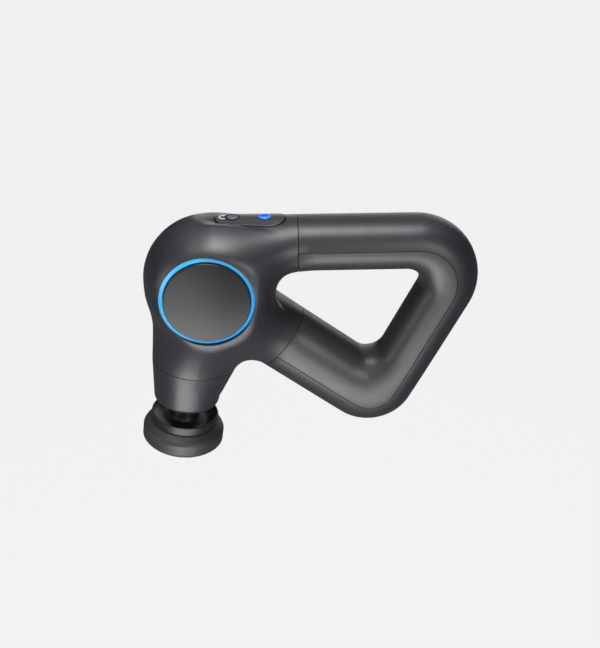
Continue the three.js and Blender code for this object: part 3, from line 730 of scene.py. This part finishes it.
def outside_covers(p):
    r = np.hypot(p[:, 0], p[:, 2])
    return np.where(p[:, 1] < -20, r - OPENING_R, np.where(p[:, 1] > 20, r - REAR_R, FAR))


VENT_ANGLE = math.radians(123)  # where it stands round the hub
VENT_Y, VENT_HALF_LENGTH, VENT_R = -2.2, 4.6, 1.7


def outside_vent(p):
    """Signed distance from the short slot on the crown."""
    x, y, z = p.T
    along = -x * math.sin(VENT_ANGLE) + z * math.cos(VENT_ANGLE)
    out = x * math.cos(VENT_ANGLE) + z * math.sin(VENT_ANGLE)
    d = np.hypot(np.maximum(np.abs(along) - VENT_HALF_LENGTH, 0), y - VENT_Y) - VENT_R
    return np.where(out > 20, d, FAR)


def outside_screws(p):
    x, y, z = p.T
    d = np.minimum(*(np.hypot(x - sx, y) for sx in SCREW_X)) - SCREW_HOLE_R
    return np.where((z < 20) & (z > -5), d, FAR)


PORT_X, PORT_HALF_LENGTH, PORT_R = 118.4, 3, 1.95


def outside_port(p):
    x, y, z = p.T
    d = np.hypot(x - np.clip(x, PORT_X - PORT_HALF_LENGTH, PORT_X + PORT_HALF_LENGTH), y) - PORT_R
    return np.where(z < -100, d, FAR)


CELL = 1.2  # spacing of the grid that the body's surface is drawn on
surface = body_mesh(CELL)

dress(
    moulding("head_shell", [
        lambda p: -past_handle_seam(p) - GROOVE,
        lambda p: -past_nose_seam(p) - GROOVE,
        lambda p: outside_covers(p) - 0.12,
        lambda p: outside_panel(p) - 0.85,
        outside_vent,
    ]),
    graphite, "housing", "head_housing")
dress(
    moulding("nose_shell", [
        lambda p: past_nose_seam(p) - GROOVE,
        lambda p: np.where(past_nose_seam(p) > 25, from_stroke_axis(p) - SHAFT_OPENING_R, FAR),
    ], depth=4.0),
    graphite, "housing", "nose_collar")
dress(
    moulding("handle_outer", [
        lambda p: past_handle_seam(p) - GROOVE,
        lambda p: HANDLE_SEAM - GROOVE - edge_depth(p),
        outside_port,
    ], depth=2.2),
    outer_black, "housing", "handle_outer_shell")
dress(
    moulding("handle_inner", [
        lambda p: past_handle_seam(p) - GROOVE,
        lambda p: edge_depth(p) - HANDLE_SEAM - GROOVE,
        outside_screws,
    ], depth=2.2),
    inner_graphite, "housing", "handle_inner_shell")


# ------------------------------------------------------------------ control panel
def top_of_body(x, y):
    """Height of the body's upper surface over each point."""
    points = np.stack([x, y, np.full(len(x), 50.0)], 1)
    for _ in range(16):
        points[:, 2] -= body_at(points)
    return points[:, 2]


def panel_plate(name, fillet=0.5, rings=14, segments=96):
    """A plate of stadium outline whose top falls away to both sides, with a rounded edge."""
    x0, x1, half = PANEL
    a = np.linspace(0, 2 * math.pi, segments, endpoint=False)
    middle = np.where(np.cos(a) > 1e-9, x1 - half, x0 + half)
    rows = [(r, 0.0) for r in np.linspace(0.4, half - fillet, rings)]
    rows += [(half - fillet + fillet * math.sin(t), fillet * (1 - math.cos(t)))
             for t in np.linspace(0.2, math.pi / 2, 5)]
    rows.append((half, 6.0))
    points = []
    for r, down in rows:
        y = r * np.sin(a)
        top = PANEL_TOP - PANEL_DROP * (np.abs(y) / half) ** 2.2
        x = middle + r * np.cos(a)
        top = -smooth_min(-top, -top_of_body(x, y) - 0.3, 1.2)
        points.append(np.stack([x, y, top - down], 1))
    points = np.concatenate(points)
    k = np.arange(segments)
    nxt = (k + 1) % segments
    faces = [list(k)]
    for i in range(len(rows) - 1):
        here, there = i * segments, (i + 1) * segments
        faces += list(np.stack([here + k, there + k, there + nxt, here + nxt], 1))
    faces.append(list((len(rows) - 1) * segments + k[::-1]))
    made = mesh_object(name, points, faces)
    orient(made)
    for face in made.data.polygons:
        # Its steep sides take the second slot: painted shadow in the groove round the panel.
        face.material_index = int(abs(face.normal.z) < 0.3)
    return made


def flat_arc(name, centre_x, top, inner, outer, start, end, thick=0.5, segments=48):
    """A flat arc or full ring that lies level on the panel."""
    full = end - start >= 359.9
    a = np.radians(np.linspace(start, end, segments, endpoint=not full))
    edge = min(0.15, (outer - inner) / 3)
    profile = [(inner, -thick), (inner, -edge), (inner + edge, 0),
               (outer - edge, 0), (outer, -edge), (outer, -thick)]
    points = np.concatenate([
        np.stack([centre_x + r * np.cos(a), r * np.sin(a), np.full(len(a), top + h)], 1)
        for r, h in profile])
    n, rows, faces = len(a), len(profile), []
    for i in range(rows):
        j = (i + 1) % rows
        for k in range(n if full else n - 1):
            m = (k + 1) % n
            faces.append([i * n + k, i * n + m, j * n + m, j * n + k])
    if not full:
        faces += [[i * n for i in range(rows)], [i * n + n - 1 for i in range(rows)][::-1]]
    made = mesh_object(name, points, faces)
    orient(made)
    return made


def button(name, centre_x, radius, top, dish):
    """A round button with a rounded edge and a slightly dished top."""
    made = turned(name, [
        (0, top - dish, 0), (radius * 0.6, top - dish * 0.6, 3.0), (radius - 0.4, top, 0.4),
        (radius, top - 0.5, 0.3), (radius, top - 2.2, 0), (0, top - 2.2, 0),
    ], "up", 96)
    made.location.x = centre_x / 1000
    return made


def seam_shadow_band(p):
    """Positive on a band along each seam, where the painted seam shadow lies."""
    handle = past_handle_seam(p)
    seams = [np.abs(handle), np.abs(past_nose_seam(p)),
             np.where(handle > 0, np.abs(edge_depth(p) - HANDLE_SEAM), FAR)]
    return SEAM_SHADOW_HALF_WIDTH - np.minimum.reduce(seams)


# A near-black sheet sunk under every seam: painted shadow seen through the grooves.
dress(moulding("seam_shadow_sheet", [seam_shadow_band], sink=1.3), painted_gap_shadow, "housing", slot="soft_black")
# The vent's insert is sunk and near-black: painted shade in the slot.
dress(
    moulding("vent_insert", [lambda p: 1.2 - outside_vent(p)], depth=0.8, sink=0.9),
    painted_gap_shadow, "housing", "crown_vent")


dress(panel_plate("panel_top"), panel_mat, "housing", "control_panel")
# The near-black seat round the power key stands for the seat and the painted shadow of the gap
# round the key.
dress(flat_arc("power_seat", POWER_X, PANEL_TOP + 0.05, 4.25, 5.2, 0, 360), painted_gap_shadow,
      "housing", slot="rubber")
dress(button("power_key", POWER_X, 4.1, PANEL_TOP + 0.3, 0.25), button_grey, "power_button",
      "power_button")
dress(flat_arc("status_arc", STATUS_X, PANEL_TOP + 0.1, 2.3, 3.2, 65, 295), moon_white,
      "housing", "status_light")
dress(flat_arc("mode_seat", MODE_X, PANEL_TOP + 0.05, 4.5, 4.95, 0, 360), edge_black,
      "housing", slot="gloss_black")
dress(button("mode_key", MODE_X, 4.35, PANEL_TOP + 0.3, 0.2), button_glow, "mode_button",
      "mode_button")
# The lighter glowing rim of the mode key is its lit ring with a painted highlight.
dress(flat_arc("mode_rim", MODE_X, PANEL_TOP + 0.42, 3.65, 4.15, 0, 360), icon_glow_and_highlight, "mode_button",
      slot="blue_light")
dress(flat_arc("mode_mark", MODE_X, PANEL_TOP + 0.28, 1.5, 2.1, 195, 345), icon_glow_and_highlight, "mode_button",
      slot="blue_light")


# ------------------------------------------------------------------ side covers and ring
dress(
    turned("glow_ring", [
        (31.0, -32.0, 0), (33.3, -32.0, 0), (33.45, -37.7, 0.25), (33.0, -38.1, 0.3),
        (31.4, -39.3, 0.5), (31.0, -39.2, 0.3), (31.0, -32.0, 0),
    ], "y", 160, closed=True),
    ring_glow, "housing", "light_ring")
dress(
    turned("gloss_cover", [
        (0, -35.4, 0), (30.2, -35.4, 0.1), (30.2, -40.7, 0.3), (29.8, -41.2, 0.3), (0, -41.2, 0),
    ], "y", 160),
    disc_gloss, "housing", "front_disc")
plain_cover = dress(
    turned("plain_cover", [
        (0, 31.6, 0), (31.6, 31.6, 0), (31.6, 34.2, 0.7), (30.6, 34.6, 0.5), (24.2, 34.6, 0.25),
        (24.0, 34.25, 0.15), (23.4, 34.25, 0.15), (23.2, 34.6, 0.25), (0, 34.6, 0),
    ], "y", 160),
    soft_black, "housing", "rear_cover")
for angle in (30, 150, 270):
    a = math.radians(angle)
    seat = Vector((REAR_SCREW[0] * math.cos(a), 34.9, REAR_SCREW[0] * math.sin(a)))
    bpy.ops.mesh.primitive_cylinder_add(
        vertices=48, radius=REAR_SCREW[1] / 1000, depth=0.004, rotation=(math.pi / 2, 0, 0),
        location=(seat + Vector(HUB)) / 1000)
    cutter = bpy.context.object
    cut = plain_cover.modifiers.new("counterbore", "BOOLEAN")
    cut.operation, cut.object, cut.solver = "DIFFERENCE", cutter, "EXACT"
    bpy.context.view_layer.objects.active = plain_cover
    bpy.ops.object.modifier_apply(modifier=cut.name)
    bpy.data.objects.remove(cutter)

# ------------------------------------------------------------------ massage head
dress(
    turned("head_dish", [
        (6.7, 112.0, 0), (9.4, 112.0, 0.8), (10.4, 118.6, 3.0), (17.5, 120.0, 4.0),
        (23.4, 116.2, 1.5), (24.3, 114.9, 0.5), (25.5, 114.9, 0.6), (25.35, 121.7, 0.5),
        (13.4, 121.9, 0), (13.4, 131.9, 0), (6.7, 131.9, 0), (6.7, 112.0, 0),
    ], "stroke", 144, closed=True),
    soft_black, "massage_head", "massage_head_base")
pad = dress(
    turned("head_pad", [
        (0, 132.3, 0), (13.7, 132.3, 0), (13.7, 122.4, 0.2), (24.6, 122.4, 0.4), (29.9, 125.9, 0.9),
        (30.9, 128.0, 1.2), (30.9, 136.6, 2.6), (28.6, 139.1, 1.6), (0, 139.2, 0),
    ], "stroke", 144),
    foam, "massage_head", "massage_head_pad")

# ------------------------------------------------------------------ stage, lights, camera
FLOOR_DROP = 0.45
WHITE = 0.868  # of the floor and of the backdrop behind it
low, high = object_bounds()
bpy.ops.mesh.primitive_plane_add(size=60, location=(0, 0, low.z - FLOOR_DROP))
floor = bpy.context.object
floor.name = "floor"
floor.data.materials.append(
    material("floor_white", (0.02, 0.02, 0.02), 0.9, specular=0.0, mottle=0.02, emission=(1, 1, 1),
             strength=WHITE))
floor.visible_diffuse = False
floor.visible_glossy = False
floor.visible_shadow = False

world = bpy.data.worlds.new("studio")
bpy.context.scene.world = world
world.use_nodes = True
tree = world.node_tree
background = tree.nodes["Background"]
place = tree.nodes.new("ShaderNodeTexCoord")
split = tree.nodes.new("ShaderNodeSeparateXYZ")
ramp = tree.nodes.new("ShaderNodeValToRGB")
height = tree.nodes.new("ShaderNodeMapRange")
height.inputs["From Min"].default_value = -1
tree.links.new(place.outputs["Generated"], split.inputs[0])
tree.links.new(split.outputs["Z"], height.inputs["Value"])
tree.links.new(height.outputs["Result"], ramp.inputs[0])
sight, seen = tree.nodes.new("ShaderNodeLightPath"), tree.nodes.new("ShaderNodeMix")
seen.data_type = "RGBA"
seen.inputs[7].default_value = (WHITE, WHITE, WHITE, 1)
tree.links.new(sight.outputs["Is Camera Ray"], seen.inputs[0])
tree.links.new(ramp.outputs["Color"], seen.inputs[6])
tree.links.new(seen.outputs[2], background.inputs["Color"])
stops = ramp.color_ramp.elements
for at, shade in ((0.0, 0.15), (0.38, 0.12), (0.47, 0.03), (0.7, 0.03), (1.0, 0.55)):
    stop = stops[0] if at == 0 else stops[-1] if at == 1 else stops.new(at)
    stop.color = (shade, shade, shade * 1.08, 1)
background.inputs["Strength"].default_value = 1.0

middle = (low + high) / 2


def softbox(name, place, target, size, power, size_y=None, color=(1, 1, 1)):
    light = bpy.data.lights.new(name, "AREA")
    light.shape = "RECTANGLE"
    light.size, light.size_y = size, size_y or size
    light.energy = power
    light.color = color
    obj = bpy.data.objects.new(name, light)
    obj.location = place
    obj.visible_camera = False
    obj.rotation_euler = (Vector(target) - Vector(place)).to_track_quat("-Z", "Y").to_euler()
    bpy.context.scene.collection.objects.link(obj)
    return obj


softbox("overhead", (0.06, -0.10, 1.0), middle, 0.5, 7.5, size_y=0.5)
softbox("low_front", (0.0, -0.52, -0.35), middle, 0.75, 4.7, size_y=0.3)
softbox("disc_glow", (-0.09, -0.51, -0.14), middle, 0.2, 0.55, size_y=0.2)
softbox("right_front", (0.45, -0.75, 0.24), middle, 0.3, 1.9)
softbox("left", (-0.75, -0.30, 0.25), middle, 0.5, 1.6)
softbox("front_fill", (0.0, -1.0, 0.75), middle, 1.0, 1.5, size_y=0.6)
softbox("rear_fill", (0.30, 0.95, 0.22), middle, 0.8, 1.8, size_y=0.5)

# The camera stands where the picture was taken from: millimetres from the hub.
EYE, AZIMUTH, ELEVATION, LENS = (37.3, -710.5, 355.7), math.radians(-2.3), math.radians(29.1), 61.1
cam_data = bpy.data.cameras.new("camera")
cam_data.lens = LENS
cam = bpy.data.objects.new("camera", cam_data)
cam.location = (Vector(EYE) + Vector(HUB)) / 1000
cam.rotation_euler = (math.pi / 2 - ELEVATION, 0, AZIMUTH)
cam_data.clip_start = 0.01
bpy.context.scene.collection.objects.link(cam)
bpy.context.scene.camera = cam
bpy.context.scene.view_settings.view_transform = "Standard"
